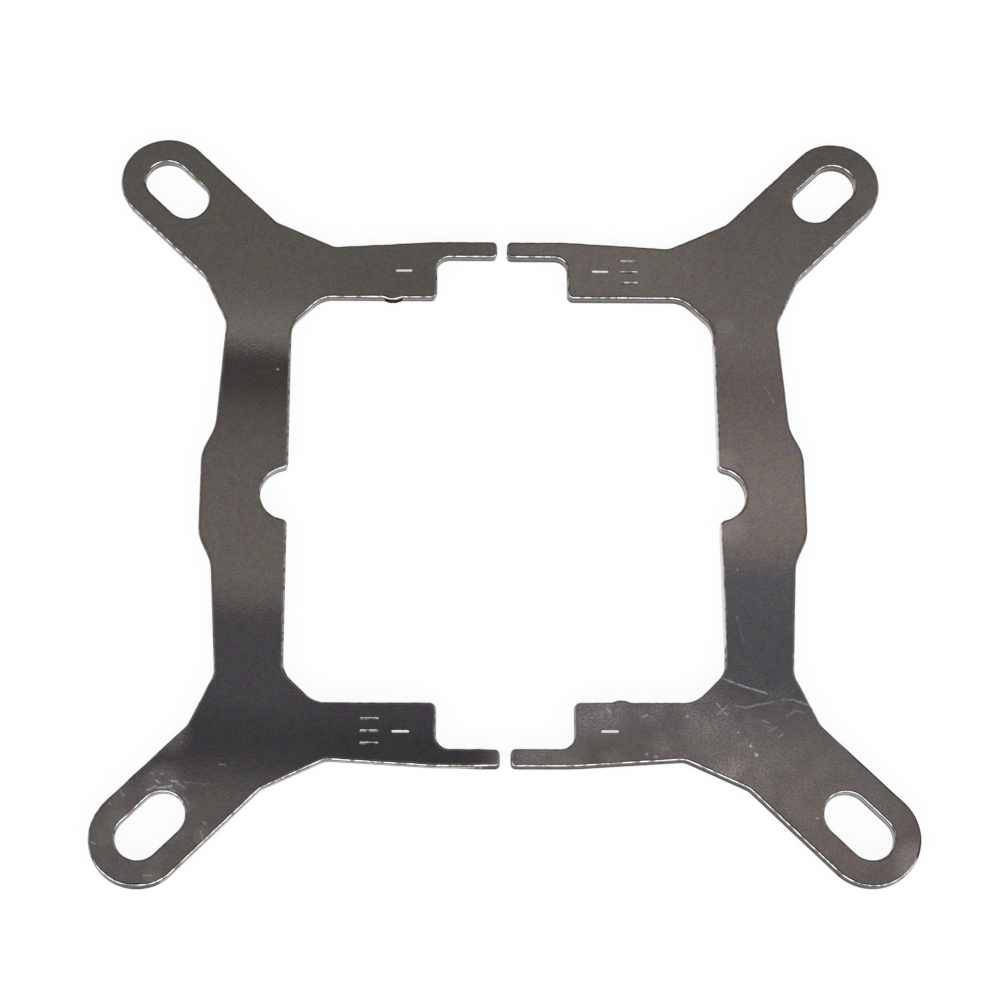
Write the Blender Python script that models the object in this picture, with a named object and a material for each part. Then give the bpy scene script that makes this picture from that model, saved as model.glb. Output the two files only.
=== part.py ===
"""Cooler mounting bracket for a processor: two stamped steel plates.

The two plates are the same stamping, one turned half a turn about Z, and they lie flat with
their arm tips almost meeting. Together they frame a square opening that slides over a pump
block, and each outer corner carries a slotted ear for one screw of the mounting pattern.

Units are metres, +Z is up. The origin is the centre of the bracket, on its underside.
The left plate lies on the -X side, and is drawn as an upper half (+Y) and its mirror image.
"""

import math

import bmesh
import bpy
from mathutils import Matrix, Vector

MM = 0.001

# Sheet: thickness, and the rounding that the punch and the tumbling barrel leave on its rims.
SHEET_THICKNESS = 1.5 * MM
ROUNDED_RIM = 0.22 * MM

# Screw pattern: the ears' slots reach every square of holes from the small one up.
SCREW_SQUARE = 75.0 * MM
SCREW_SQUARE_SPREAD = 5.0 * MM
SLOT_WIDTH = 5.0 * MM
EAR_WALL = 3.0 * MM

# Opening for the pump block, with its corners cut at 45 degrees and rounded.
PUMP_OPENING = 49.4 * MM
PUMP_CORNER_CUT = 3.5 * MM
PUMP_CORNER_RADIUS = 3.0 * MM

# Spine: the long side of the C. Its outer edge leans out towards a wider middle.
SPINE_WIDTH = 7.7 * MM
SPINE_SHOULDER_DROP = 3.2 * MM
SPINE_LEAN = math.radians(3.6)
BULGE_WIDTH = 10.05 * MM
BULGE_LENGTH = 10.1 * MM
BULGE_RADIUS = 5.0 * MM

# Half-round notch in the middle of the spine's inner edge, with rounded lips.
NOTCH_RADIUS = 3.1 * MM
NOTCH_LIP_RADIUS = 0.8 * MM

# Arms: the two short sides of the C. A square step leaves a narrow lip at each tip.
ARM_WIDTH = 6.65 * MM
ARM_SHOULDER_INSET = 4.85 * MM
ARM_LEAN = math.radians(3.6)
ARM_KNEE_RADIUS = 40.0 * MM
STEP_OPENING = 15.3 * MM
STEP_CORNER_RADIUS = 0.8 * MM
LIP_WIDTH = 2.1 * MM
LIP_ROOT_RADIUS = 1.5 * MM
TIP_GAP = 1.1 * MM
TIP_RADIUS = 0.6 * MM

# Shoulders: slanted stretches that run from the arm and the spine into the ear's strip.
SHOULDER_SLANT = math.radians(25.0)
ARM_HOLLOW_RADIUS = 2.0 * MM
SPINE_HOLLOW_RADIUS = 2.8 * MM

# Stub where the plate was cut from its strip, on the inner edge of one arm of each plate.
STUB_PLACE = 12.9 * MM
STUB_WIDTH = 2.0 * MM
STUB_HEIGHT = 0.25 * MM

# How far a straight side of an arc may stray from the true circle.
ARC_ERROR = 0.012 * MM
RIM_RESOLUTION = 1
WELD_DISTANCE = 0.005 * MM
SMOOTH_BELOW = math.radians(50.0)

# The ears' strips run outwards on the diagonals. These are the directions on the upper left one.
OUTWARD = Vector((-1, 1)).normalized()
ACROSS = Vector((1, 1)).normalized()
STRIP_ANGLE = math.radians(-45.0)

# Dark nickel plating.
PLATING_COLOUR = (0.105, 0.098, 0.096, 1.0)
PLATING_METALLIC = 1.0
PLATING_ROUGHNESS = 0.32


def arc(centre, radius, start, end):
    """Points on an arc from the angle start to the angle end, both included."""
    finest = 2 * math.acos(1 - min(ARC_ERROR / radius, 1))
    steps = max(2, math.ceil(abs(end - start) / finest))
    points = []
    for index in range(steps + 1):
        angle = start + (end - start) * index / steps
        points.append(centre + radius * Vector((math.cos(angle), math.sin(angle))))
    return points


def rounded_corner(before, corner, after, radius):
    """Points of the arc that rounds one corner. It takes at most half of either side."""
    to_before = (before - corner).normalized()
    to_after = (after - corner).normalized()
    opening = to_before.angle(to_after)
    shorter_side = min((before - corner).length, (after - corner).length)
    reach = min(radius / math.tan(opening / 2), shorter_side / 2)
    true_radius = reach * math.tan(opening / 2)
    centre = corner + (to_before + to_after).normalized() * true_radius / math.sin(opening / 2)
    start_arm = corner + to_before * reach - centre
    end_arm = corner + to_after * reach - centre
    start = math.atan2(start_arm.y, start_arm.x)
    turn = math.remainder(math.atan2(end_arm.y, end_arm.x) - start, math.tau)
    return arc(centre, true_radius, start, start + turn)


def rounded_outline(corners):
    """The closed outline through corners, each (point, radius). Radius 0 keeps the point."""
    outline = []
    neighbours = zip(corners[-1:] + corners, corners, corners[1:] + corners[:1])
    for (before, _), (corner, radius), (after, _) in neighbours:
        points = rounded_corner(before, corner, after, radius) if radius else [corner]
        outline += points
    return without_repeats(outline)


def without_repeats(outline):
    """Where two arcs meet in one point, that point is kept once."""
    pairs = zip(outline[-1:] + outline, outline)
    return [point for before, point in pairs if (point - before).length > WELD_DISTANCE]


def crossing(point, angle, other_point, other_angle):
    """Where two lines cross, each given by a point and the angle that it runs at."""
    along = Vector((math.cos(angle), math.sin(angle)))
    other = Vector((math.cos(other_angle), math.sin(other_angle)))
    between = other_point - point
    return point + along * between.cross(other) / along.cross(other)


def mirrored(corners):
    """The same corners below the X axis, in the other order."""
    return [(Vector((point.x, -point.y)), radius) for point, radius in reversed(corners)]


def strip_end(centre, half_width):
    """The two square corners at the outer end of the diagonal strip, spine side first."""
    end = centre + OUTWARD * half_width
    return end - ACROSS * half_width, end + ACROSS * half_width


def slot_ends():
    """Centres of the upper left slot's two round ends, the inner one first."""
    near = SCREW_SQUARE / 2
    far = (SCREW_SQUARE + SCREW_SQUARE_SPREAD) / 2
    return Vector((-near, near)), Vector((-far, far))


def spine_corners(ear_corner):
    """Outer edge of the spine, from the bulge in its middle to the ear's strip."""
    edge = -PUMP_OPENING / 2
    bulge = Vector((edge - BULGE_WIDTH, BULGE_LENGTH / 2))
    shoulder = Vector((edge - SPINE_WIDTH, -edge - SPINE_SHOULDER_DROP))
    upward = math.pi / 2
    waist = crossing(shoulder, upward - SPINE_LEAN, bulge, upward - SHOULDER_SLANT)
    strip = crossing(shoulder, upward + SHOULDER_SLANT, ear_corner, STRIP_ANGLE)
    return [
        (bulge, BULGE_RADIUS),
        (waist, BULGE_RADIUS),
        (shoulder, SPINE_HOLLOW_RADIUS),
        (strip, SPINE_HOLLOW_RADIUS),
    ]


def arm_corners(ear_corner):
    """Edge of the arm from the ear's strip, round the tip and the lip, to the step."""
    edge = PUMP_OPENING / 2
    shoulder = Vector((ARM_SHOULDER_INSET - edge, edge + ARM_WIDTH))
    strip = crossing(shoulder, -SHOULDER_SLANT, ear_corner, STRIP_ANGLE)
    step_x = -STEP_OPENING / 2
    tip_x = -TIP_GAP / 2
    outer_y = shoulder.y + (step_x - shoulder.x) * math.tan(ARM_LEAN)
    lip_y = outer_y - LIP_WIDTH
    return [
        (strip, ARM_HOLLOW_RADIUS),
        (shoulder, ARM_HOLLOW_RADIUS),
        (Vector((step_x, outer_y)), ARM_KNEE_RADIUS),
        (Vector((tip_x, outer_y)), TIP_RADIUS),
        (Vector((tip_x, lip_y)), TIP_RADIUS),
        (Vector((step_x, lip_y)), LIP_ROOT_RADIUS),
        (Vector((step_x, edge)), STEP_CORNER_RADIUS),
    ]


def stub_corners():
    """The low swelling that is left on the arm's inner edge where the strip held it."""
    edge = PUMP_OPENING / 2
    foot = STUB_WIDTH / 2
    crown = STUB_WIDTH / 4
    profile = [(foot, 0), (crown, STUB_HEIGHT), (-crown, STUB_HEIGHT), (-foot, 0)]
    return [(Vector((along - STUB_PLACE, edge - drop)), STUB_WIDTH) for along, drop in profile]


def pump_corners():
    """The corner of the pump opening, cut at 45 degrees."""
    edge = PUMP_OPENING / 2
    return [
        (Vector((PUMP_CORNER_CUT - edge, edge)), PUMP_CORNER_RADIUS),
        (Vector((-edge, edge - PUMP_CORNER_CUT)), PUMP_CORNER_RADIUS),
    ]


def notch_points():
    """The notch in the spine's inner edge, from its upper rounded lip to its lower one."""
    centre = Vector((-PUMP_OPENING / 2, 0))
    reach = NOTCH_RADIUS + NOTCH_LIP_RADIUS
    lip = centre + Vector((-NOTCH_LIP_RADIUS, math.sqrt(reach ** 2 - NOTCH_LIP_RADIUS ** 2)))
    toward_lip = math.atan2(lip.y - centre.y, lip.x - centre.x)
    upper_lip = arc(lip, NOTCH_LIP_RADIUS, 0, toward_lip - math.pi)
    bottom = arc(centre, NOTCH_RADIUS, toward_lip, math.tau - toward_lip)
    upper = [(point, 0) for point in upper_lip]
    return upper + [(point, 0) for point in bottom] + mirrored(upper)


def upper_corners(with_stub):
    """The plate's upper half, from the bulge round the ear and the tip to the notch."""
    ear_radius = SLOT_WIDTH / 2 + EAR_WALL
    spine_side, arm_side = strip_end(slot_ends()[1], ear_radius)
    ear = [(spine_side, ear_radius), (arm_side, ear_radius)]
    stub = stub_corners() if with_stub else []
    return spine_corners(spine_side) + ear + arm_corners(arm_side) + stub + pump_corners()


def plate_outline():
    """The whole outline of the left plate: two mirrored halves, joined at the notch."""
    upper = upper_corners(with_stub=True)
    lower = mirrored(upper_corners(with_stub=False))
    return rounded_outline(upper + notch_points() + lower)


def slot_outline():
    """The upper left slot: a strip with a round end at either side."""
    near, far = slot_ends()
    radius = SLOT_WIDTH / 2
    outer = strip_end(far, radius)
    inner = [corner - OUTWARD * SLOT_WIDTH for corner in strip_end(near, radius)[::-1]]
    return rounded_outline([(corner, radius) for corner in (*outer, *inner)])


def add_outline(curve, outline):
    """One closed straight-sided spline on the curve."""
    spline = curve.splines.new("POLY")
    spline.points.add(len(outline) - 1)
    for spline_point, point in zip(spline.points, outline):
        spline_point.co = (point.x, point.y, 0, 1)
    spline.use_cyclic_u = True


def stamped_blank():
    """The flat plate as a mesh, from one filled 2D curve with both slots in it."""
    curve = bpy.data.curves.new("plate_outline", "CURVE")
    curve.dimensions = "2D"
    curve.fill_mode = "BOTH"
    curve.extrude = SHEET_THICKNESS / 2 - ROUNDED_RIM
    curve.bevel_depth = ROUNDED_RIM
    curve.bevel_resolution = RIM_RESOLUTION
    curve.offset = -ROUNDED_RIM
    upper_slot = slot_outline()
    lower_slot = [Vector((point.x, -point.y)) for point in upper_slot]
    for outline in (plate_outline(), upper_slot, lower_slot):
        add_outline(curve, outline)
    drawing = bpy.data.objects.new("plate_outline", curve)
    bpy.context.scene.collection.objects.link(drawing)
    depsgraph = bpy.context.evaluated_depsgraph_get()
    mesh = bpy.data.meshes.new_from_object(drawing.evaluated_get(depsgraph))
    bpy.data.objects.remove(drawing)
    mesh.materials.clear()
    mesh.transform(Matrix.Translation((0, 0, SHEET_THICKNESS / 2)))
    return mesh


def weld(mesh):
    """Join the curve's loose caps to its wall, so that the plate is one closed solid."""
    work = bmesh.new()
    work.from_mesh(mesh)
    bmesh.ops.remove_doubles(work, verts=work.verts, dist=WELD_DISTANCE)
    bmesh.ops.recalc_face_normals(work, faces=work.faces)
    caps = [face for face in work.faces if len({round(vertex.co.z, 6) for vertex in face.verts}) == 1]
    within_caps = [edge for edge in work.edges if all(face in caps for face in edge.link_faces)]
    bmesh.ops.beautify_fill(work, faces=caps, edges=within_caps)
    work.to_mesh(mesh)
    work.free()
    mesh.shade_smooth()
    mesh.set_sharp_from_angle(angle=SMOOTH_BELOW)


def plating(name):
    """Dark nickel plating on rolled steel."""
    material = bpy.data.materials.new(name)
    material.use_nodes = True
    shader = material.node_tree.nodes["Principled BSDF"]
    shader.inputs["Base Color"].default_value = PLATING_COLOUR
    shader.inputs["Metallic"].default_value = PLATING_METALLIC
    shader.inputs["Roughness"].default_value = PLATING_ROUGHNESS
    material.diffuse_color = PLATING_COLOUR
    return material


def make_plate(name, turn, collection):
    """One plate, turned about Z."""
    mesh = stamped_blank()
    weld(mesh)
    mesh.materials.append(plating(name + "_plating"))
    plate = bpy.data.objects.new(name, mesh)
    plate.rotation_euler.z = turn
    collection.objects.link(plate)
    return plate


def main():
    for old in list(bpy.data.objects):
        bpy.data.objects.remove(old)
    bracket = bpy.data.collections.new("cooler_mounting_bracket")
    bpy.context.scene.collection.children.link(bracket)
    make_plate("left_plate", 0, bracket)
    make_plate("right_plate", math.pi, bracket)


main()
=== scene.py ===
# %% [markdown]
# A stamped steel cooler bracket
#
# The bracket frames a square pump block and ties it to the board round a processor. It is two
# like plates, punched from sheet 1.5 mm thick and plated dark, which lie flat with their tips
# almost meeting. The solids hold its exact outline. This lesson gives it what a press, a
# tumbling barrel and a plating bath give the real one: rolled rims, burnished and torn walls,
# stamped strokes, a dark satin face, and the scratches of use.

# %% Load the solids and note their box
import math

import bmesh
import bpy
from mathutils import Matrix, Vector, noise
from mathutils.geometry import interpolate_bezier


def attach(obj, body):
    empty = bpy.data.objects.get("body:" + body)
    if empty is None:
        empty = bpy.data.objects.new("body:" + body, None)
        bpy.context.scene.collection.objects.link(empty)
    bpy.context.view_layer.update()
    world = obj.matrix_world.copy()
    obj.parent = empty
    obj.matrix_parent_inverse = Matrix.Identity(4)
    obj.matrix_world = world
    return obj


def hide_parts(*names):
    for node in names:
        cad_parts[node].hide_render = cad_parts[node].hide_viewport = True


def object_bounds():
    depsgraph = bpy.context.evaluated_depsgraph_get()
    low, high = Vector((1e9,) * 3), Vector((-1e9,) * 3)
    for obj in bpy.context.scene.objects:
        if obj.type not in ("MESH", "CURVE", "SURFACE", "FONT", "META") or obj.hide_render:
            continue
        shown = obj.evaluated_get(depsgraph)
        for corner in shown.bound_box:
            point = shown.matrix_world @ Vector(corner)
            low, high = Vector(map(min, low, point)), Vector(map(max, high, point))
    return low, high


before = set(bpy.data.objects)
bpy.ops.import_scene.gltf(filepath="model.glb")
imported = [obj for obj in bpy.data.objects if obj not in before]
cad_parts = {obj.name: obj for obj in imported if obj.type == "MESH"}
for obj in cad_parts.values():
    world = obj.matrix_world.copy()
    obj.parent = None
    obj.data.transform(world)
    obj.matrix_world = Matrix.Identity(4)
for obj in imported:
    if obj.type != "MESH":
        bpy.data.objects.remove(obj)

cad_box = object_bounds()
MM = 0.001
SHEET = cad_box[1].z - cad_box[0].z
print("solid box in mm:", [[round(value / MM, 2) for value in corner] for corner in cad_box])

# %% [markdown]
# The camera stands in front of the bracket and looks down on it, tilted about 21 degrees from
# straight above, with a long lens. The angles come from laying the bracket's outline over the
# photograph. A camera could be aimed with a Track To constraint, but the three turns below keep
# the small pan and roll that the photograph has.

# %% Camera
LENS_MM = 91.695
SENSOR_MM = 36.0
CAMERA_DISTANCE = 293.15 * MM
CAMERA_TILT = math.radians(20.703)
CAMERA_PAN = math.radians(1.523)
CAMERA_ROLL = math.radians(-0.218)
CAMERA_ASIDE = Vector((-0.330, -0.260)) * MM
CLIP_NEAR = 10 * MM
CLIP_FAR = 20.0

turn = (
    Matrix.Rotation(CAMERA_ROLL, 3, "Z")
    @ Matrix.Rotation(CAMERA_PAN, 3, "Y")
    @ Matrix.Rotation(-CAMERA_TILT, 3, "X")
).transposed()
camera = bpy.data.objects.new("camera", bpy.data.cameras.new("camera"))
camera.location = turn @ Vector((*CAMERA_ASIDE, CAMERA_DISTANCE))
camera.rotation_euler = turn.to_euler()
camera.data.lens = LENS_MM
camera.data.sensor_width = SENSOR_MM
camera.data.clip_start = CLIP_NEAR
camera.data.clip_end = CLIP_FAR
bpy.context.scene.collection.objects.link(camera)
bpy.context.scene.camera = camera
bpy.context.scene.view_settings.view_transform = "Standard"
print("camera at", [round(value / MM, 1) for value in camera.location], "mm")

# %% [markdown]
# The outline of each plate is already right in the solids, so it isn't drawn a second time. The
# straight part of the solid's wall ends in closed rings of points: one round the plate and one
# round each slot. They are read from there. In the solid a round stretch is a row of short
# chords, so each chord is bent back into its arc with a Bezier curve, and the ring gets a point
# every quarter of a millimetre, which leaves room for wear along the edge.

# %% Read the outline rings of a plate
POINT_SPACING = 0.25 * MM
STRAIGHT_RATIO = 1.5
SAME_HEIGHT = 0.001 * MM


def signed_area(ring):
    """Area inside a ring, positive where it runs anticlockwise."""
    return sum(a.cross(b) for a, b in zip(ring, ring[1:] + ring[:1])) / 2


def closed_rings(node):
    """The rings in which the solid's straight wall ends, the one round the plate first.

    That one runs anticlockwise and the slots clockwise, so the metal is always on the left.
    """
    work = bmesh.new()
    work.from_mesh(node.data)
    bmesh.ops.remove_doubles(work, verts=work.verts, dist=SAME_HEIGHT)
    work.verts.index_update()
    heights = sorted({round(vertex.co.z, 6) for vertex in work.verts})
    wall_top = max(zip(heights, heights[1:]), key=lambda pair: pair[1] - pair[0])[1]
    places = {v.index: v.co.xy for v in work.verts if abs(v.co.z - wall_top) < SAME_HEIGHT}
    links = {index: [] for index in places}
    for edge in work.edges:
        first, second = (vertex.index for vertex in edge.verts)
        if first in links and second in links:
            links[first].append(second)
            links[second].append(first)
    rings = []
    while links:
        start = next(iter(links))
        walk = [start, links[start][0]]
        while True:
            ahead = [index for index in links[walk[-1]] if index != walk[-2]]
            if ahead[0] == start:
                break
            walk.append(ahead[0])
        rings.append([places[index].copy() for index in walk])
        for index in walk:
            del links[index]
    work.free()
    rings.sort(key=lambda ring: -abs(signed_area(ring)))
    turned = []
    for number, ring in enumerate(rings):
        anticlockwise = number == 0
        turned.append(ring if (signed_area(ring) > 0) == anticlockwise else ring[::-1])
    return turned


def rounded_ring(ring):
    """The ring with its chords bent back into arcs, and a point every POINT_SPACING or less."""
    chords = [after - before for before, after in zip(ring, ring[1:] + ring[:1])]
    straight = []
    for index, chord in enumerate(chords):
        longest = max(chords[index - 1].length, chords[(index + 1) % len(chords)].length)
        straight.append(chord.length > STRAIGHT_RATIO * longest)
    headings = []
    for index, after in enumerate(chords):
        before = chords[index - 1]
        if straight[index - 1]:
            heading = before
        elif straight[index]:
            heading = after
        else:
            heading = before / before.length_squared + after / after.length_squared
        headings.append(heading.normalized())
    points = []
    for index, start in enumerate(ring):
        following = (index + 1) % len(ring)
        end = ring[following]
        handle = chords[index].length / 3
        steps = math.ceil(chords[index].length / POINT_SPACING)
        handles = (start + headings[index] * handle, end - headings[following] * handle)
        points += interpolate_bezier(start, *handles, end, steps + 1)[:-1]
    return points


rings_of = {name: [rounded_ring(ring) for ring in closed_rings(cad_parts[name])]
            for name in ("left_plate", "right_plate")}
for name, rings in rings_of.items():
    print(name, "rings:", [len(ring) for ring in rings])

# %% [markdown]
# A punched edge has four bands. The punch first drags the face down into a rolled rim, then
# cuts a smooth burnished band, and then the metal tears away, which leaves a dull band that
# falls back a little. A small burr at the foot is tumbled round. A Bevel modifier would give
# only an even rounding, so the edge is lofted here: at each point of the ring a short profile
# runs from the upper face down to the lower one, and slow noise along the ring makes the rim
# wider in one place and narrower in another, as wear does.

# %% Sizes of the punched edge
FACE_FINISH, TORN_FINISH, BROKEN_FINISH, SHADED_WALL_FINISH = range(4)
ROLLED_RIM = 0.34 * MM
RIM_STEPS = 12
RIM_WANDER = 0.28
RIM_WANDER_LENGTH = 1.6 * MM
FINE_WANDER_LENGTH = RIM_WANDER_LENGTH / 3
FINE_WANDER_SHARE = 0.5
BURNISHED_FOOT = 0.72 * MM
BURNISHED_WANDER = 0.12 * MM
BURNISHED_WANDER_LENGTH = 0.9 * MM
TEAR_STEP = 0.05 * MM
TEAR_DEPTH = 0.02 * MM
TEAR_VARIES = 0.5
TEAR_GRAIN = 0.25 * MM
FOOT_RIM = 0.07 * MM
FOOT_STEPS = 3
OUTLINE_MARGIN = 0.01 * MM
# How far the wall falls back at its foot. That stands in for the small tilt between the plates.
WALL_FALL = {"left_plate": 0.12 * MM, "right_plate": -0.012 * MM}
# Layers of the noise, far enough apart not to follow each other.
RIM_LAYER, FINE_RIM_LAYER, FOOT_LAYER, SHADE_LAYER = 0.0, 2.0, 3.0, 13.0
TEAR_LAYERS = (7.0, 9.0, 11.0)


def drift(point, length, layer):
    """Smooth noise from -1 to 1 that changes over a length, the same on each run."""
    return noise.noise(Vector((point.x / length, point.y / length, layer)))


def share_between(value, begins, ends):
    """How far a value has gone from one mark to another, from 0 to 1."""
    return min(max((value - begins) / (ends - begins), 0), 1)


bands = {"rim": ROLLED_RIM, "burnished": SHEET - ROLLED_RIM - BURNISHED_FOOT, "torn": BURNISHED_FOOT}
print("bands in mm:", {band: round(height / MM, 2) for band, height in bands.items()})

# %% [markdown]
# The edge isn't the same all round. Each plate has a stub on one arm, where it was twisted off
# its strip: there the face rounds over a little early, and the whole wall is one dark break.
# Plating grows thickest on outer corners, where the current crowds, and there the wall is almost
# On the front left ear and arm tip, and all along the front of the right plate, the wall is painted
# almost black: painted shade. On the front right ear the rim is painted with it too. Its border is
# ragged, so noise moves it.
# Use rubs the plating bright, most of all on the rims. Along the inner edge of each spine the whole
# wall is painted bright, most of all on the right plate: a painted reflection of the white
# surroundings. In the back corners of the opening the wall is rubbed but the rim isn't. The outside
# of a spine touches nothing, so its rim keeps its plating. The profile carries all this as a number
# called edge_wear_and_reflection, and the material reads it.
# Painted vertex colours would hold the same number, but here it follows from a few named places.

# %% Places on the edge
STUB_PLACE = Vector((-12.9, 24.45)) * MM
STUB_REACH = 1.05 * MM
STUB_SHOULDER = 0.10 * MM
# Painted shade on the wall: (centre, reach) in millimetres, with a soft edge inside the reach.
PAINTED_SHADE_PLACES = (((-44.0, -42.5), 8.5), ((-0.9, -31.0), 4.0), ((26.0, -60.0), 42.0))
PAINTED_SHADE_SOFT = 3.0
PAINTED_SHADE_WANDER = 0.35
PAINTED_SHADE_WANDER_LENGTH = 0.5 * MM
SHADED_WALL_FALL = {"left_plate": -0.07 * MM, "right_plate": 0.0}
# The front right ear, where the rim is also painted with that shade past this tilt in degrees.
SHADED_RIM_PLACE = ((46.5, -33.5), 9.0)
SHADED_RIM_TILT = 23
# Degrees of tilt at which the rim's wear begins, is full, begins to fade and ends.
RUBBED_TILTS = (26, 38, 56, 70)
BLOCK_REACH = Vector((27.0, 20.0)) * MM
BLOCK_FADE = 2.0 * MM
# Along the spines' inner edges the wall is painted bright: a painted reflection, strongest on the
# right plate.
BLOCK_WALL_REFLECTION = {"left_plate": 0.5, "right_plate": 1.4}
NOTCH_HALF = 3.6 * MM
NOTCH_WEAR = 0.45
# The back corners of the opening, in millimetres.
CORNER_PLACES = ((-24.1, 21.4), (23.9, 21.4))
CORNER_REACH = 2.8
CORNER_FADE = 1.4
CORNER_WEAR = 0.6
SPINE_OUTSIDE = 28.0 * MM
SPINE_ENDS = (17.0 * MM, 20.0 * MM)
SPINE_WEAR_SHARE = 0.3


def painted_wall_shade(point):
    """From 0 to 1 where the wall is painted dark as shade."""
    return max(share_between((point / MM - Vector(centre)).length, reach, reach - PAINTED_SHADE_SOFT)
               for centre, reach in PAINTED_SHADE_PLACES)


def corner_rub(point):
    """From 0 to 1 in the back corners of the opening."""
    near = min((point / MM - Vector(place)).length for place in CORNER_PLACES)
    return share_between(near, CORNER_REACH, CORNER_REACH - CORNER_FADE)


def spine_share(point):
    """How much of the usual rim wear a place gets: little on the outside of a spine."""
    if abs(point.x) < SPINE_OUTSIDE:
        return 1.0
    past_spine = share_between(abs(point.y), *SPINE_ENDS)
    return SPINE_WEAR_SHARE + (1 - SPINE_WEAR_SHARE) * past_spine


def rim_wear_and_reflection(tilt, wall_wear_and_reflection):
    """How far the plating is rubbed off where the rim has tilted so far from the face, and along a
    spine's inner edge the painted reflection that its wall carries.
    """
    begins, full, fades, ends = RUBBED_TILTS
    degrees = math.degrees(tilt)
    on_rim = share_between(degrees, begins, full) * share_between(degrees, ends, fades)
    return max(on_rim, wall_wear_and_reflection * share_between(degrees, 0, full))


# The count below is of outline points whose wall gets the painted shade.
for name, rings in rings_of.items():
    shaded_points = sum(painted_wall_shade(point) > 0.5 for point in rings[0])
    print(name, "points with thick plating:", shaded_points)

# %% Profile of the edge


def edge_profile(point, name, side, outer):
    """The edge at one point, from the upper face down: (inward, height, wear, finish)."""
    stub = (point - STUB_PLACE * side).length < STUB_REACH
    shaded_wall = painted_wall_shade(point) if outer else 0.0
    rim_centre, rim_reach = SHADED_RIM_PLACE
    shaded_rim = outer and (point / MM - Vector(rim_centre)).length < rim_reach
    by_block = abs(point.x) < BLOCK_REACH.x and abs(point.y) < BLOCK_REACH.y
    in_notch = by_block and abs(point.y) < NOTCH_HALF
    reflecting_wall = by_block and not in_notch

    wall_wear_and_reflection = 0.0
    if in_notch:
        wall_wear_and_reflection = NOTCH_WEAR
    # Painted reflection: along a spine's inner edge the wall is painted bright.
    elif reflecting_wall:
        slid_past = share_between(abs(point.y), BLOCK_REACH.y, BLOCK_REACH.y - BLOCK_FADE)
        wall_wear_and_reflection = BLOCK_WALL_REFLECTION[name] * slid_past
    corner = corner_rub(point)
    rim_share = spine_share(point) * (1 - corner)
    lower_wear_and_reflection = max(wall_wear_and_reflection, CORNER_WEAR * corner)
    foot_wear_and_reflection = 0.0 if in_notch else lower_wear_and_reflection

    wander = drift(point, RIM_WANDER_LENGTH, RIM_LAYER)
    wander += FINE_WANDER_SHARE * drift(point, FINE_WANDER_LENGTH, FINE_RIM_LAYER)
    rim = ROLLED_RIM * (1 + RIM_WANDER * wander)
    reach = rim + (STUB_SHOULDER if stub else 0)
    profile = []
    for step in range(RIM_STEPS + 1):
        tilt = math.pi / 2 * step / RIM_STEPS
        inward = reach * (1 - math.sin(tilt))
        height = SHEET - rim * (1 - math.cos(tilt))
        # Painted shade on the front right ear's rim, past that tilt.
        if shaded_rim and tilt > math.radians(SHADED_RIM_TILT):
            profile.append((inward, height, 0.0, SHADED_WALL_FINISH))
        else:
            profile.append((inward, height, rim_wear_and_reflection(tilt, wall_wear_and_reflection) * rim_share, FACE_FINISH))

    wall, torn = FACE_FINISH, TORN_FINISH
    if stub:
        wall, torn = BROKEN_FINISH, BROKEN_FINISH
    # Painted shade: here the wall takes the near black finish.
    elif shaded_wall + PAINTED_SHADE_WANDER * drift(point, PAINTED_SHADE_WANDER_LENGTH, SHADE_LAYER) > 0.5:
        wall, torn = SHADED_WALL_FINISH, SHADED_WALL_FINISH
    elif reflecting_wall or corner > 0:
        torn = FACE_FINISH
    foot_inward = WALL_FALL[name] * (1 - shaded_wall) + SHADED_WALL_FALL[name] * shaded_wall
    fall = foot_inward / (SHEET - rim)
    foot = BURNISHED_FOOT + BURNISHED_WANDER * drift(point, BURNISHED_WANDER_LENGTH, FOOT_LAYER)
    profile.append((fall * (SHEET - rim - foot), foot, lower_wear_and_reflection, wall))
    tear_heights = (foot - TEAR_STEP, (foot + FOOT_RIM) / 2, FOOT_RIM)
    for height, layer in zip(tear_heights, TEAR_LAYERS):
        depth = TEAR_DEPTH * (1 + TEAR_VARIES * drift(point, TEAR_GRAIN, layer))
        profile.append((depth + fall * (SHEET - rim - height), height, foot_wear_and_reflection, torn))
    deepest = profile[-1][0]
    for step in range(1, FOOT_STEPS + 1):
        tilt = math.pi / 2 * step / FOOT_STEPS
        inward = deepest + FOOT_RIM * (1 - math.cos(tilt))
        wear = foot_wear_and_reflection if step < FOOT_STEPS else 0.0
        profile.append((inward, FOOT_RIM * (1 - math.sin(tilt)), wear, torn))

    # A wall that leans out at its foot starts further in, so that it stays inside the outline.
    lean = max(-foot_inward, 0)
    return [(inward + lean, *others) for inward, *others in profile]


print("profile points:", len(edge_profile(Vector((0, 0)), "left_plate", 1, True)))

# %% [markdown]
# The arms carry short strokes. Each is a shallow trough with round ends: a softened lip, sloping
# walls and a flat floor. They could be drawn with bump alone, but a real trough catches the light
# on its far wall and loses it on the near one from every side, so they are modelled. One stroke
# marks the middle of each arm. It was struck after plating, so its floor is bright, bare steel.
# Three finer ones, struck before plating, stand in a column beside it on one arm of each plate.

# %% Stamped strokes
STROKE_TURN_POINTS = 10
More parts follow.
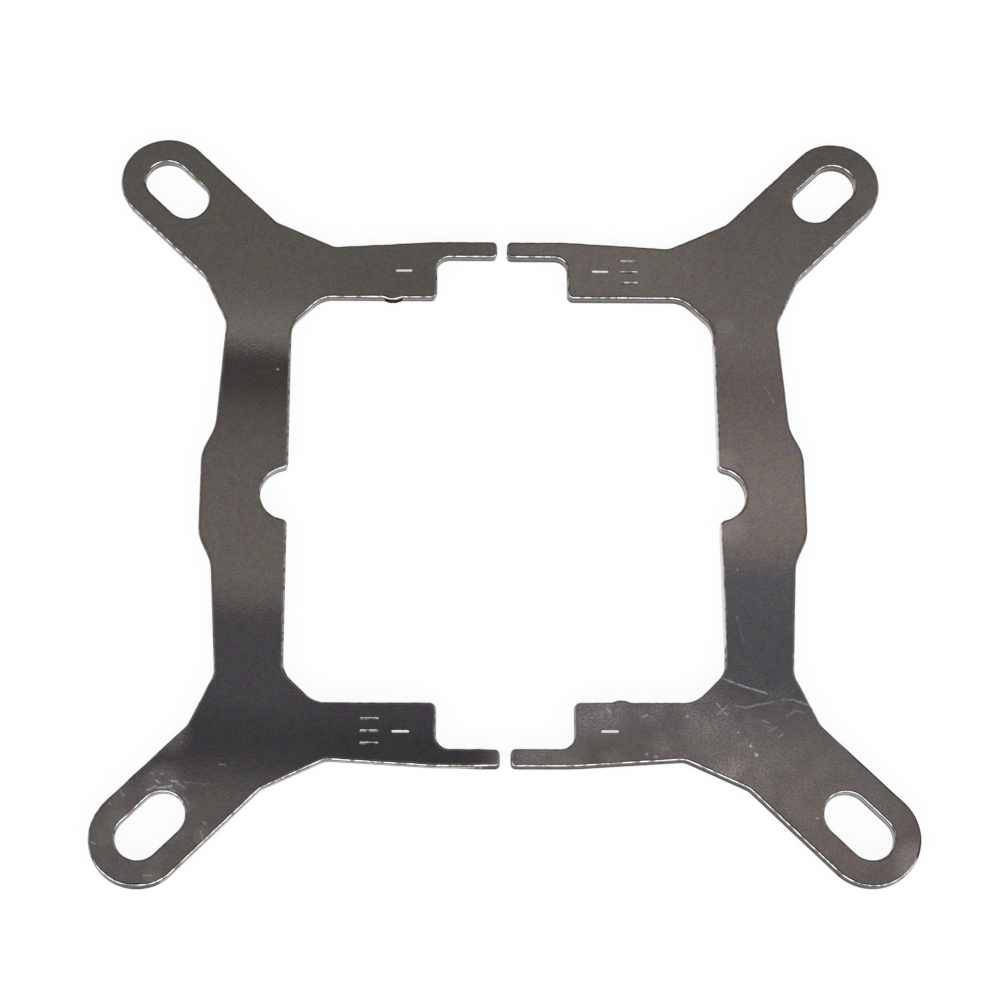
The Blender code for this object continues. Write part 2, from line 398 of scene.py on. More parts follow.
# Across half a stroke: how far in from its lip, how deep, how worn, each as a share.
STROKE_PROFILE = (
    (0, 0, 0), (0.10, 0.05, 0.7), (0.25, 0.45, 1.0), (0.50, 0.95, 1.0), (0.75, 1.0, 1.0))
TICK = {"length": 1.95 * MM, "width": 0.31 * MM, "depth": 0.04 * MM, "wear": 2.0}
TICK_PLACE = Vector((-11.6, 28.15)) * MM
BAR = {"length": 2.1 * MM, "width": 0.36 * MM, "depth": 0.09 * MM, "wear": 0.7}
BAR_PLACE = Vector((-15.05, -28.1)) * MM
BAR_PITCH = 1.4 * MM


def stroke_ring(centre, length, width):
    """A strip with round ends that lies along X, clockwise, as a hole in the face runs."""
    points = []
    for side in (1, -1):
        middle = centre + Vector((side * (length - width) / 2, 0))
        for step in range(STROKE_TURN_POINTS + 1):
            angle = math.pi * (0.5 - step / STROKE_TURN_POINTS)
            points.append(middle + side * width / 2 * Vector((math.cos(angle), math.sin(angle))))
    return points


def strokes(side):
    """(centre, kind) of each stroke on a plate. side is 1 on the left, -1 on the right."""
    places = [(TICK_PLACE, TICK), (Vector((TICK_PLACE.x, -TICK_PLACE.y)), TICK)]
    for row in (-1, 0, 1):
        places.append((BAR_PLACE + Vector((0, row * BAR_PITCH)), BAR))
    return [(place * side, kind) for place, kind in places]


print("strokes on a plate:", len(strokes(1)))

# %% [markdown]
# Now the pieces are put together. Every ring gets its band of faces, every stroke its trough,
# and the two flat faces are filled between them. The flat faces stay flat shaded, so that a
# long thin triangle can't bend the reflection, and the bands are shaded smooth.

# %% Build a plate


def add_band(work, wear_layer, rows):
    """Faces between rows of points. Each point is (place, wear, finish)."""
    made = []
    for points in rows:
        verts = [work.verts.new(place) for place, _, _ in points]
        for vertex, (_, wear, _) in zip(verts, points):
            vertex[wear_layer] = wear
        made.append(verts)
    for upper, lower, points in zip(made, made[1:], rows[1:]):
        around = zip(upper, upper[1:] + upper[:1], lower[1:] + lower[:1], lower)
        for corners, (_, _, finish) in zip(around, points):
            face = work.faces.new(corners)
            face.smooth = True
            face.material_index = finish
    return made


def add_edge(work, wear_layer, ring, name, side, outer):
    """The punched edge along one ring."""
    columns = []
    for before, point, after in zip(ring[-1:] + ring, ring, ring[1:] + ring[:1]):
        along = (after - before).normalized()
        into_metal = Vector((-along.y, along.x))
        column = []
        for inward, height, wear, finish in edge_profile(point, name, side, outer):
            place = point + into_metal * (inward + OUTLINE_MARGIN)
            column.append(((place.x, place.y, height), wear, finish))
        columns.append(column)
    return add_band(work, wear_layer, list(zip(*columns)))


def add_stroke(work, wear_layer, centre, kind):
    """One stamped trough."""
    rows = []
    for inset_share, depth_share, wear in STROKE_PROFILE:
        inset = inset_share * kind["width"] / 2
        ring = stroke_ring(centre, kind["length"] - 2 * inset, kind["width"] - 2 * inset)
        height = SHEET - depth_share * kind["depth"]
        rows.append([((point.x, point.y, height), wear * kind["wear"], FACE_FINISH)
                     for point in ring])
    made = add_band(work, wear_layer, rows)
    work.faces.new(made[-1])
    return made


def fill_between(work, loops):
    """A flat face with a hole for each loop inside the first."""
    edges = [work.edges.get(pair) for loop in loops for pair in zip(loop, loop[1:] + loop[:1])]
    bmesh.ops.triangle_fill(work, edges=edges, use_beauty=True, normal=(0, 0, 1))


def build_plate(name, side):
    """The dressed plate: its edges, strokes and faces as one closed mesh."""
    work = bmesh.new()
    wear_layer = work.verts.layers.float.new("edge_wear_and_reflection")
    upper_loops, lower_loops = [], []
    for number, ring in enumerate(rings_of[name]):
        rows = add_edge(work, wear_layer, ring, name, side, outer=number == 0)
        upper_loops.append(rows[0])
        lower_loops.append(rows[-1])
    for centre, kind in strokes(side):
        upper_loops.append(add_stroke(work, wear_layer, centre, kind)[0])
    fill_between(work, upper_loops)
    fill_between(work, lower_loops)
    bmesh.ops.recalc_face_normals(work, faces=work.faces)
    mesh = bpy.data.meshes.new(name + "_dressed")
    work.to_mesh(mesh)
    work.free()
    plate = bpy.data.objects.new(name + "_dressed", mesh)
    bpy.context.scene.collection.objects.link(plate)
    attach(plate, "root")
    return plate


left = build_plate("left_plate", 1)
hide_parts("left_plate")
right = build_plate("right_plate", -1)
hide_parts("right_plate")
for plate in (left, right):
    print(plate.name, len(plate.data.vertices), "points", len(plate.data.polygons), "faces")

# %% [markdown]
# Four helpers serve every finish. Colours are written as sRGB hex values, as a colour picker
# shows them, and one function turns them to the linear values that the renderer works in. Two
# more feed a node's inputs and add a node, so that each finish below reads as a recipe. The last
# turns a size in millimetres to a texture scale.

# %% Helpers for colours and nodes


def linear(hex_colour):
    """An sRGB hex colour as linear red, green, blue and full alpha."""
    channels = [int(hex_colour[place:place + 2], 16) / 255 for place in (1, 3, 5)]
    curved = [c / 12.92 if c <= 0.04045 else ((c + 0.055) / 1.055) ** 2.4 for c in channels]
    return (*curved, 1.0)


def feed(node, inputs):
    """Sets or links inputs, given as a list in the order of the sockets or a dict by name.

    An input is a number, a colour, another node or one of its outputs.
    """
    for key, value in inputs.items() if isinstance(inputs, dict) else enumerate(inputs):
        if isinstance(key, int):
            socket = node.inputs[key]
        else:
            socket = next(s for s in node.inputs if key in (s.identifier, s.name))
        if isinstance(value, bpy.types.Node):
            value = next(output for output in value.outputs if output.enabled)
        if isinstance(value, bpy.types.NodeSocket):
            node.id_data.links.new(value, socket)
        else:
            socket.default_value = value


def add(tree, kind, inputs=(), **settings):
    """Adds a node. Its settings come first, because some of them show or hide sockets."""
    made = tree.nodes.new(kind)
    for name, value in settings.items():
        setattr(made, name, value)
    feed(made, inputs)
    return made


def per(size_mm):
    """Texture scale for a feature of this size in millimetres."""
    return 1 / (size_mm * MM)


print("middle grey in linear light:", round(linear("#808080")[0], 3))

# %% [markdown]
# Use leaves two kinds of mark on the faces. Fingers and screw heads haze a soft round place, and a
# slipped tool draws a single scratch. Some round places and short streaks are painted sheen instead:
# the bright band along the rim of the front left slot, and faint light by the back right slot. Such
# marks could be painted on an image, but here each is a few numbers in the bracket's own
# millimetres: a haze is the distance from a centre, and a scratch is the distance from a line
# between two points. That stays sharp however near one looks.

# %% Hazed places and painted sheen
# Centre, reach and strength, in millimetres on the bracket.
# The places round the front left and back right slots, and the small one at (26.2, 21.1), are
# painted sheen.
HAZE_AND_SHEEN_PLACES = (
    ((28.0, -28.5), 14.0, 0.11),
    ((10.0, -24.8), 5.5, 0.38),
    ((3.5, -31.6), 7.0, 0.28),
    ((25.0, -31.5), 7.5, 0.16),
    ((12.0, -32.0), 2.6, 0.14),
    ((16.0, -25.3), 2.6, 0.14),
    ((22.0, -24.5), 5.0, 0.10),
    ((17.5, -27.5), 8.0, 0.09),
    ((24.4, -32.4), 2.4, 0.16),
    ((17.2, -29.4), 1.8, 0.10),
    ((36.5, -37.0), 11.0, 0.13),
    ((45.2, -43.6), 4.0, 0.44),
    ((-37.4, -34.2), 3.2, 0.22),
    ((-42.1, -38.0), 2.0, 0.15),
    ((-42.3, -35.1), 1.8, 0.06),
    ((-43.1, -39.8), 1.8, 0.08),
    ((-34.9, -36.7), 1.3, 0.15),
    ((-36.0, -39.4), 1.8, 0.14),
    ((-38.1, -42.1), 1.6, 0.10),
    ((-38.2, -44.5), 1.4, 0.12),
    ((-40.5, -37.5), 7.5, 0.04),
    ((-37.0, -28.5), 3.0, 0.24),
    ((-33.0, -39.9), 1.5, 0.14),
    ((34.7, 40.0), 3.8, 0.04),
    ((45.0, 39.0), 5.0, 0.06),
    ((26.2, 21.1), 1.6, 0.08),
    ((25.8, -4.4), 2.4, 0.20),
    ((25.6, 4.3), 2.0, 0.12),
)
# The share of its reach within which a haze has its full strength.
HAZE_AND_SHEEN_CORE = 0.3


def haze_and_sheen_mask(tree, place_mm):
    """The sum of the soft round places of haze and of painted sheen."""
    total = None
    for (x, y), reach, strength in HAZE_AND_SHEEN_PLACES:
        gap = add(tree, "ShaderNodeVectorMath", [place_mm, (x, y, 0)], operation="DISTANCE")
        soft = add(tree, "ShaderNodeMapRange",
                   [gap.outputs["Value"], reach, reach * HAZE_AND_SHEEN_CORE, 0.0, strength],
                   interpolation_type="SMOOTHSTEP")
        if total is not None:
            soft = add(tree, "ShaderNodeMath", [soft, total], operation="ADD")
        total = soft
    return total


print("hazed places:", len(HAZE_AND_SHEEN_PLACES))

# %% Single scratches, and streaks of painted sheen
# From, to, width and strength, in millimetres on the bracket.
SCRATCHES_AND_SHEEN = (
    ((24.4, -22.1), (29.1, -23.7), 0.30, 0.46),
    ((25.6, -25.1), (26.7, -25.4), 0.34, 0.20),
    ((26.7, -25.4), (29.8, -24.6), 0.36, 0.26),
    ((30.9, -24.4), (32.2, -24.5), 0.36, 0.26),
    ((32.2, -24.5), (33.9, -25.1), 0.34, 0.30),
    ((32.2, -25.6), (33.0, -25.9), 0.34, 0.18),
    ((23.6, -24.8), (24.7, -26.2), 0.28, 0.34),
    ((23.5, -26.2), (24.8, -25.2), 0.28, 0.34),
    ((28.6, -26.9), (29.3, -27.2), 0.30, 0.26),
    ((29.3, -28.0), (30.0, -27.6), 0.30, 0.26),
    ((30.2, -28.8), (30.7, -28.4), 0.30, 0.28),
    ((28.8, -27.5), (29.3, -27.7), 0.28, 0.18),
    ((31.2, -26.3), (32.2, -25.7), 0.32, 0.20),
    ((22.7, -30.8), (24.6, -30.3), 0.34, 0.12),
    ((26.2, -14.8), (26.8, -17.6), 0.30, 0.10),
    ((30.4, 13.8), (31.5, 11.4), 0.24, 0.12),
    ((-31.4, -31.9), (-30.8, -32.0), 0.26, 0.40),
    # The next nine streaks hug the front left slot: painted sheen along its rim.
    ((-38.0, -34.6), (-36.5, -34.4), 0.36, 0.60),
    ((-36.5, -33.8), (-35.8, -33.9), 0.36, 0.60),
    ((-39.1, -34.8), (-38.2, -34.4), 0.34, 0.50),
    ((-38.2, -33.7), (-37.8, -34.1), 0.34, 0.50),
    ((-37.4, -34.9), (-36.3, -34.8), 0.34, 0.50),
    ((-36.3, -34.8), (-36.0, -35.2), 0.34, 0.45),
    ((-35.8, -34.1), (-35.0, -34.5), 0.32, 0.30),
    ((-38.8, -32.9), (-38.5, -33.0), 0.36, 0.30),
    ((-37.7, -32.9), (-37.4, -32.9), 0.36, 0.35),
    ((-35.1, -35.5), (-34.5, -36.5), 0.36, 0.18),
    ((-35.0, -34.0), (-32.5, -34.0), 0.30, 0.12),
    ((-42.3, -34.5), (-41.7, -35.5), 0.34, 0.20),
    ((-43.2, -36.2), (-43.1, -36.4), 0.34, 0.25),
    ((-45.0, -40.6), (-44.5, -40.8), 0.30, 0.25),
    ((-39.2, -44.2), (-38.3, -44.3), 0.30, 0.25),
    ((-33.1, -38.3), (-32.7, -38.6), 0.34, 0.22),
    ((-33.2, -39.4), (-32.8, -40.6), 0.30, 0.28),
    ((15.3, -26.5), (15.8, -26.2), 0.28, 0.45),
    ((11.3, -25.6), (11.7, -26.0), 0.30, 0.50),
    # Bright pinpricks.
    ((27.1, -29.8), (27.12, -29.8), 0.44, 1.0),
    ((27.6, -30.7), (27.8, -30.8), 0.46, 1.0),
    ((25.9, -28.1), (25.92, -28.1), 0.36, 0.6),
    ((20.1, -26.3), (20.3, -26.4), 0.36, 0.6),
    ((15.6, -30.7), (15.62, -30.7), 0.40, 0.7),
    ((16.5, -31.0), (16.7, -31.0), 0.36, 0.5),
    ((-26.2, 15.4), (-26.18, 15.4), 0.36, 1.0),
    ((26.5, -9.1), (26.5, -9.15), 0.26, 0.35),
    ((26.3, -14.8), (26.3, -14.85), 0.26, 0.35),
    ((34.1, -37.8), (34.2, -37.8), 0.30, 0.60),
)


def scratch_and_sheen_mask(tree, place_mm, broken):
    """The strongest of all the single scratches and streaks of painted sheen at a place."""
    strongest = None
    for (x0, y0), (x1, y1), width, strength in SCRATCHES_AND_SHEEN:
        run = Vector((x1 - x0, y1 - y0, 0))
        start = add(tree, "ShaderNodeVectorMath", [place_mm, (x0, y0, 0)], operation="SUBTRACT")
        dot = add(tree, "ShaderNodeVectorMath", [start, run], operation="DOT_PRODUCT")
        share = add(tree, "ShaderNodeMath", [dot.outputs["Value"], 1 / run.length_squared],
                    operation="MULTIPLY", use_clamp=True)
        foot = add(tree, "ShaderNodeVectorMath", {0: run, "Scale": share}, operation="SCALE")
        gap = add(tree, "ShaderNodeVectorMath", [start, foot], operation="DISTANCE")
        line = add(tree, "ShaderNodeMapRange",
                   [gap.outputs["Value"], width / 2, 0.0, 0.0, strength])
        if strongest is not None:
            line = add(tree, "ShaderNodeMath", [line, strongest], operation="MAXIMUM")
        strongest = line
    return add(tree, "ShaderNodeMath", [strongest, broken], operation="MULTIPLY")


print("scratches:", len(SCRATCHES_AND_SHEEN))

# %% [markdown]
# The faces are black nickel over cold rolled steel. Nickel of this kind is a dark, slightly warm
# grey mirror with a satin break: the sheet's own fine orange peel shows through the thin
# plating, so a reflection keeps its place but its edge breaks up into grain. A plain grey with
# a rough shader would lose the bands of light that run across the plates, so the roughness is
# kept low and the grain is made by a very small bump instead.
#
# Where the number on the edge is high, the plating is rubbed through to bright steel, and noise
# along the edge breaks that line up; on the spines' inner walls the same number is a painted
# reflection. Above 1 it stands for a stroke struck after plating, which is bare, and on the right
# spine's inner wall for the brightest of that painted reflection.

# %% Colours and sizes of black nickel
NICKEL_WARM = "#5F5954"
NICKEL_GREY = "#5D5856"
RUBBED_STEEL_AND_REFLECTION = "#A0A0A2"
# White of scratches and of the streaks of painted sheen.
SCRATCH_AND_SHEEN_WHITE = "#E6E4E2"
STRUCK_AND_REFLECTION_WHITE = "#F4F2F0"
# Light grey of haze and of painted sheen.
HAZE_AND_SHEEN_GREY = "#A89E9A"
FACE_ROUGHNESS = 0.035
HAZE_ROUGHNESS = 0.25
WORN_ROUGHNESS = 0.20
STRUCK_ROUGHNESS = 0.45
FLECK_SHARE = 0.20
MARKS_ABOVE = (0.2 * MM, 0.6 * MM)

# Real orange peel and plating grain are a few hundredths of a millimetre. They are drawn at
# about 0.2 mm, which is two pixels, so that they show.
PEEL_MM = 0.24
PEEL_HEIGHT = 0.0007 * MM
GRAIN_MM = 0.22
SPECK_MM = 0.21
# Slower changes, as large as they are on the plates: flecks, gaps in the rubbed rim, drift of
# the plating's tint, patches in the haze, and the sway of a scratch.
FLECK_MM = 0.8
GAP_MM = 0.75
TINT_MM = 1.6
PATCH_MM = 2.2
SWAY_MM = 2.6
SWAY_REACH = 0.5

# Each carries a noise value or edge_wear_and_reflection from one range to another: (from, to, gives, gives).
TINT_RANGE = (0.35, 0.65, 0.0, 1.0)
GRAIN_TONES = (0.25, 0.75, 0.80, 1.20)
SPECKLES = (0.38, 0.72, 0.45, 1.75)
PATCHES = (0.36, 0.64, 0.75, 1.25)
SCRATCH_BREAKS = (0.36, 0.56, 0.25, 1.0)
RIM_GAPS = (0.40, 0.55, 0.0, 1.15)
STRUCK_RANGE = (1.0, 1.6, 0.0, 1.0)
FULL_HAZE = 0.6

# %% Black nickel


def black_nickel():
    material = bpy.data.materials.new("black_nickel")
    material.use_nodes = True
    tree = material.node_tree
    here = add(tree, "ShaderNodeTexCoord").outputs["Object"]
    flat = add(tree, "ShaderNodeVectorMath", [here, (1 / MM, 1 / MM, 0)], operation="MULTIPLY")
    # This number holds rim and stroke wear, and the painted reflection on the spines' inner walls.
    wear = add(tree, "ShaderNodeAttribute", attribute_name="edge_wear_and_reflection").outputs["Fac"]

    # The plating drifts between a warm and a neutral grey over a millimetre or two, and a grain
    # of a few tenths, in tone and hue, lies over that.
    tint = add(tree, "ShaderNodeTexNoise", {"Vector": here, "Scale": per(TINT_MM), "Detail": 3.0})
    tint = add(tree, "ShaderNodeMapRange", [tint, *TINT_RANGE])
    plated = add(tree, "ShaderNodeMix", {
        "Factor_Float": tint, "A_Color": linear(NICKEL_WARM), "B_Color": linear(NICKEL_GREY)},
        data_type="RGBA")
    grain = add(tree, "ShaderNodeTexNoise", {"Vector": here, "Scale": per(GRAIN_MM), "Detail": 1.0})
    grain = add(tree, "ShaderNodeMapRange", [grain, *GRAIN_TONES])
    plated = add(tree, "ShaderNodeMix", {"Factor_Float": 1.0, "A_Color": plated, "B_Color": grain},
                 data_type="RGBA", blend_type="MULTIPLY")
    flecks = add(tree, "ShaderNodeTexNoise", {
        "Vector": here, "Scale": per(FLECK_MM), "Detail": 1.0})
    plated = add(tree, "ShaderNodeMix", {
        "Factor_Float": FLECK_SHARE, "A_Color": plated, "B_Color": flecks.outputs["Color"]},
        data_type="RGBA", blend_type="OVERLAY")

    # Haze and painted sheen lie in patches and break up into specks, and a scratch wobbles and
    # breaks off here and there. Both lie only on the upper face and the rims, not on the face
    # underneath.
    height = add(tree, "ShaderNodeSeparateXYZ", [here]).outputs["Z"]
    upper = add(tree, "ShaderNodeMapRange", [height, *MARKS_ABOVE])
    mottle = add(tree, "ShaderNodeTexNoise", {
        "Vector": here, "Scale": per(SPECK_MM), "Detail": 2.0, "Roughness": 0.6})
    patches = add(tree, "ShaderNodeTexNoise", {
        "Vector": here, "Scale": per(PATCH_MM), "Detail": 3.0})
    haze_and_sheen = haze_and_sheen_mask(tree, flat)
    for noise_value, carried in ((mottle, SPECKLES), (patches, PATCHES)):
        gain = add(tree, "ShaderNodeMapRange", [noise_value, *carried])
        haze_and_sheen = add(tree, "ShaderNodeMath", [haze_and_sheen, gain], operation="MULTIPLY")
    haze_and_sheen = add(tree, "ShaderNodeMath", [haze_and_sheen, upper], operation="MULTIPLY")
    sway = add(tree, "ShaderNodeTexNoise", {"Vector": here, "Scale": per(SWAY_MM), "Detail": 1.0})
    swayed = add(tree, "ShaderNodeVectorMath", [sway.outputs["Color"], (0.5, 0.5, 0.5)],
                 operation="SUBTRACT")
    swayed = add(tree, "ShaderNodeVectorMath", [swayed, (SWAY_REACH, SWAY_REACH, 0.0), flat],
                 operation="MULTIPLY_ADD")
    broken = add(tree, "ShaderNodeMapRange", [mottle, *SCRATCH_BREAKS])
    broken = add(tree, "ShaderNodeMath", [broken, upper], operation="MULTIPLY")
    scratches_and_sheen = scratch_and_sheen_mask(tree, swayed, broken)
    for mask, colour in ((haze_and_sheen, HAZE_AND_SHEEN_GREY), (scratches_and_sheen, SCRATCH_AND_SHEEN_WHITE)):
        plated = add(tree, "ShaderNodeMix", {
            "Factor_Float": mask, "A_Color": plated, "B_Color": linear(colour)}, data_type="RGBA")

    # Rubbed rims, and the painted reflection on the spines' inner walls: noise breaks up the bright
    # line. Struck strokes: bare and bright all over, as is the brightest of that painted reflection.
    gaps = add(tree, "ShaderNodeTexNoise", {"Vector": here, "Scale": per(GAP_MM), "Detail": 3.0})
    gaps = add(tree, "ShaderNodeMapRange", [gaps, *RIM_GAPS])
    worn_and_reflecting = add(tree, "ShaderNodeMath", [wear, gaps], operation="MULTIPLY")
    struck_and_reflecting = add(tree, "ShaderNodeMapRange", [wear, *STRUCK_RANGE])
    finish = plated
    for mask, colour in ((worn_and_reflecting, RUBBED_STEEL_AND_REFLECTION), (struck_and_reflecting, STRUCK_AND_REFLECTION_WHITE)):
        finish = add(tree, "ShaderNodeMix", {
            "Factor_Float": mask, "A_Color": finish, "B_Color": linear(colour)}, data_type="RGBA")

    rubbed = add(tree, "ShaderNodeMath", [haze_and_sheen, scratches_and_sheen], operation="MAXIMUM", use_clamp=True)
    rough = add(tree, "ShaderNodeMapRange",
                [rubbed, 0.0, FULL_HAZE, FACE_ROUGHNESS, HAZE_ROUGHNESS])
    rough = add(tree, "ShaderNodeMapRange", [worn_and_reflecting, 0.0, 1.0, rough, WORN_ROUGHNESS])
    rough = add(tree, "ShaderNodeMapRange", [struck_and_reflecting, 0.0, 1.0, rough, STRUCK_ROUGHNESS])
    peel = add(tree, "ShaderNodeTexNoise", {"Vector": here, "Scale": per(PEEL_MM), "Detail": 1.5})
    bumped = add(tree, "ShaderNodeBump", {"Height": peel, "Distance": PEEL_HEIGHT, "Strength": 1.0})
    feed(tree.nodes["Principled BSDF"], {
        "Base Color": finish, "Metallic": 1.0, "Roughness": rough, "Normal": bumped})
    return material


nickel = black_nickel()
print(nickel.name, "has", len(nickel.node_tree.nodes), "nodes")

# %% [markdown]
# Below the burnished band the metal tore, and the plating only coats the tear: it stays a dull,
# rough grey. Tear marks run up and down the wall, so the noise is stretched along Z. The stub broke
# rather than tore, and its wall is darker still. The walls of the front corners are painted smooth
# and almost black: painted shade. Any metal turns into a mirror at a glancing angle, which would
# make those two walls pale from above, so their Specular Tint is set dark.

# %% Torn and broken walls, and walls of painted shade
TORN_GREY = "#5C5A58"
TORN_ROUGHNESS = 0.42
BROKEN_DARK = "#3A3633"
BROKEN_ROUGHNESS = 0.55
# Painted shade for the walls of the front corners.
PAINTED_SHADE_BLACK = "#35322F"
SHADED_WALL_ROUGHNESS = 0.22
PALE_GLANCE = "#FFFFFF"
MIDDLE_GLANCE = "#C2C2C2"
DARK_GLANCE = "#9A9A9A"
# Real tear marks are a few hundredths of a millimetre wide. They are drawn wider, so that they
# show, and much longer than wide.
TEAR_MARK_MM = 0.14
TEAR_MARK_STRETCH = (1.0, 1.0, 0.15)
TEAR_MARK_TONES = (0.3, 0.7, 0.65, 1.3)
TEAR_MARK_HEIGHT = 0.02 * MM
TEAR_MARK_STRENGTH = 0.7


def wall_steel(name, colour, roughness, glance):
    material = bpy.data.materials.new(name)
    material.use_nodes = True
    tree = material.node_tree
    here = add(tree, "ShaderNodeTexCoord").outputs["Object"]
    drawn = add(tree, "ShaderNodeVectorMath", [here, TEAR_MARK_STRETCH], operation="MULTIPLY")
    streaks = add(tree, "ShaderNodeTexNoise", {
        "Vector": drawn, "Scale": per(TEAR_MARK_MM), "Detail": 3.0})
    tone = add(tree, "ShaderNodeMapRange", [streaks, *TEAR_MARK_TONES])
    streaked = add(tree, "ShaderNodeMix", {
        "Factor_Float": 1.0, "A_Color": linear(colour), "B_Color": tone},
        data_type="RGBA", blend_type="MULTIPLY")
    bumped = add(tree, "ShaderNodeBump", {
        "Height": streaks, "Distance": TEAR_MARK_HEIGHT, "Strength": TEAR_MARK_STRENGTH})
    feed(tree.nodes["Principled BSDF"], {
        "Base Color": streaked, "Metallic": 1.0, "Roughness": roughness,
        "Specular Tint": linear(glance), "Normal": bumped})
    return material


torn = wall_steel("torn_steel", TORN_GREY, TORN_ROUGHNESS, PALE_GLANCE)
broken = wall_steel("broken_steel", BROKEN_DARK, BROKEN_ROUGHNESS, DARK_GLANCE)
# The near black wall of painted shade.
shaded_wall = wall_steel("painted_shade_wall", PAINTED_SHADE_BLACK, SHADED_WALL_ROUGHNESS, MIDDLE_GLANCE)
for plate in (left, right):
    for material in (nickel, torn, broken, shaded_wall):
        plate.data.materials.append(material)
print("materials:", [material.name for material in left.data.materials])

# %% [markdown]
# A dark mirror shows its surroundings, so the studio is part of the finish. The wide sky has
# three zones by height. A bright soft strip low in front lights the rims, and above it the sky
# stays dark, which draws the thin dark line inside each bright rim. Lamps could do the same, but
# a sky reaches every face of the edge evenly and leaves no lamp in sight.

# %% The wide sky
SKY_STRENGTH = 5.0
PLAIN_LIGHT = "#FFFFFF"

# Within a zone a stop is (heading, level), where the heading runs from -1 in front of the
# bracket through 0 at its sides to 1 behind it.
ZENITH_LEVEL = 0.80
MIDDLE_LEFT = ((-1, 0.10), (-0.30, 0.10), (-0.05, 0.80), (0.60, 0.80), (0.85, 0.55), (1, 0.55))
MIDDLE_RIGHT = ((-1, 0.50), (-0.30, 0.50), (-0.05, 0.95), (0.60, 0.95), (0.85, 0.65), (1, 0.65))
LOW_SKY = ((-1, 3.6), (-0.40, 3.6), (-0.20, 0.90), (0.50, 0.90), (0.80, 0.36), (1, 0.36))
HORIZON_LEVEL = 1.0
# Degrees from straight up at which one zone fades into the next.
ZENITH_TO_MIDDLE = (9, 17)
MIDDLE_TO_LOW = (47, 52)
LOW_TO_HORIZON = (87, 90)
# How far a direction leans to the right where the left sky fades into the right one.
LEFT_TO_RIGHT = (-0.04, 0.04)


def light_ramp(tree, along, low, high, stops):
    """Light levels along a line that runs from low to high. A stop is (place, level, colour)."""
    along = add(tree, "ShaderNodeMapRange", [along, low, high])
    ramp = add(tree, "ShaderNodeValToRGB", [along])
    elements = ramp.color_ramp.elements
    while len(elements) < len(stops):
        elements.new(1.0)
    for element, (place, level, colour) in zip(elements, stops):
        element.position = (place - low) / (high - low)
        element.color = [channel * level / SKY_STRENGTH for channel in linear(colour)[:3]] + [1]
    return ramp


world = bpy.data.worlds.new("studio")
bpy.context.scene.world = world
world.use_nodes = True
sky = world.node_tree
heading = add(sky, "ShaderNodeTexCoord").outputs["Generated"]
axes = add(sky, "ShaderNodeSeparateXYZ", [heading])
lean = add(sky, "ShaderNodeMath", [axes.outputs["Z"]], operation="ARCCOSINE")
lean = add(sky, "ShaderNodeMath", [lean], operation="DEGREES")
level_way = add(sky, "ShaderNodeVectorMath", [heading, (1, 1, 0)], operation="MULTIPLY")
level_way = add(sky, "ShaderNodeVectorMath", [level_way], operation="NORMALIZE")
ahead = add(sky, "ShaderNodeSeparateXYZ", [level_way]).outputs["Y"]
middle_left, middle_right, low_sky = (
    light_ramp(sky, ahead, -1, 1, [(place, level, PLAIN_LIGHT) for place, level in stops])
    for stops in (MIDDLE_LEFT, MIDDLE_RIGHT, LOW_SKY))
zenith, horizon = ((level / SKY_STRENGTH,) * 3 + (1.0,) for level in (ZENITH_LEVEL, HORIZON_LEVEL))
rightward = add(sky, "ShaderNodeMapRange", [axes.outputs["X"], *LEFT_TO_RIGHT],
                interpolation_type="SMOOTHSTEP")
middle = add(sky, "ShaderNodeMix", {
    "Factor_Float": rightward, "A_Color": middle_left, "B_Color": middle_right}, data_type="RGBA")
wide = zenith
for fade, zone in ((ZENITH_TO_MIDDLE, middle), (MIDDLE_TO_LOW, low_sky), (LOW_TO_HORIZON, horizon)):
    reached = add(sky, "ShaderNodeMapRange", [lean, *fade])
    wide = add(sky, "ShaderNodeMix", {"Factor_Float": reached, "A_Color": wide, "B_Color": zone},
               data_type="RGBA")
print("nodes in the wide sky:", len(sky.nodes))

# %% [markdown]
# Overhead hang soft panels of different brightness. Each plate shows them as bands that run
# across it, so their edges are set where their mirror image should fall: at a place in
# millimetres along the bracket, which the camera's own position turns into a direction in the
# sky.

# %% Overhead panels
COOL_LIGHT = "#E2EDFF"
PALE_COOL_LIGHT = "#E6ECFF"
HALF_COOL_LIGHT = "#F8F9FF"
GREENISH_LIGHT = "#FAFFFC"
ROSY_LIGHT = "#FFFAFC"

# The panels as each plate shows them: (millimetres along Y, level, colour).
LEFT_PANELS = (
    (-46, 1.00, HALF_COOL_LIGHT), (-36, 0.93, HALF_COOL_LIGHT), (-31, 0.48, PALE_COOL_LIGHT),
    (-27.5, 0.46, PALE_COOL_LIGHT), (-24.5, 0.66, PALE_COOL_LIGHT), (-14.7, 0.68, PALE_COOL_LIGHT),
    (-12.9, 1.02, HALF_COOL_LIGHT), (-10, 1.14, PLAIN_LIGHT), (0, 1.05, PLAIN_LIGHT),
    (6, 0.93, PLAIN_LIGHT), (10, 0.71, PLAIN_LIGHT), (13.5, 0.44, HALF_COOL_LIGHT),
    (17.2, 0.40, HALF_COOL_LIGHT), (18.8, 1.22, PLAIN_LIGHT), (20.5, 1.46, PLAIN_LIGHT),
    (23, 1.16, GREENISH_LIGHT), (27, 0.92, GREENISH_LIGHT), (46, 0.82, GREENISH_LIGHT),
)
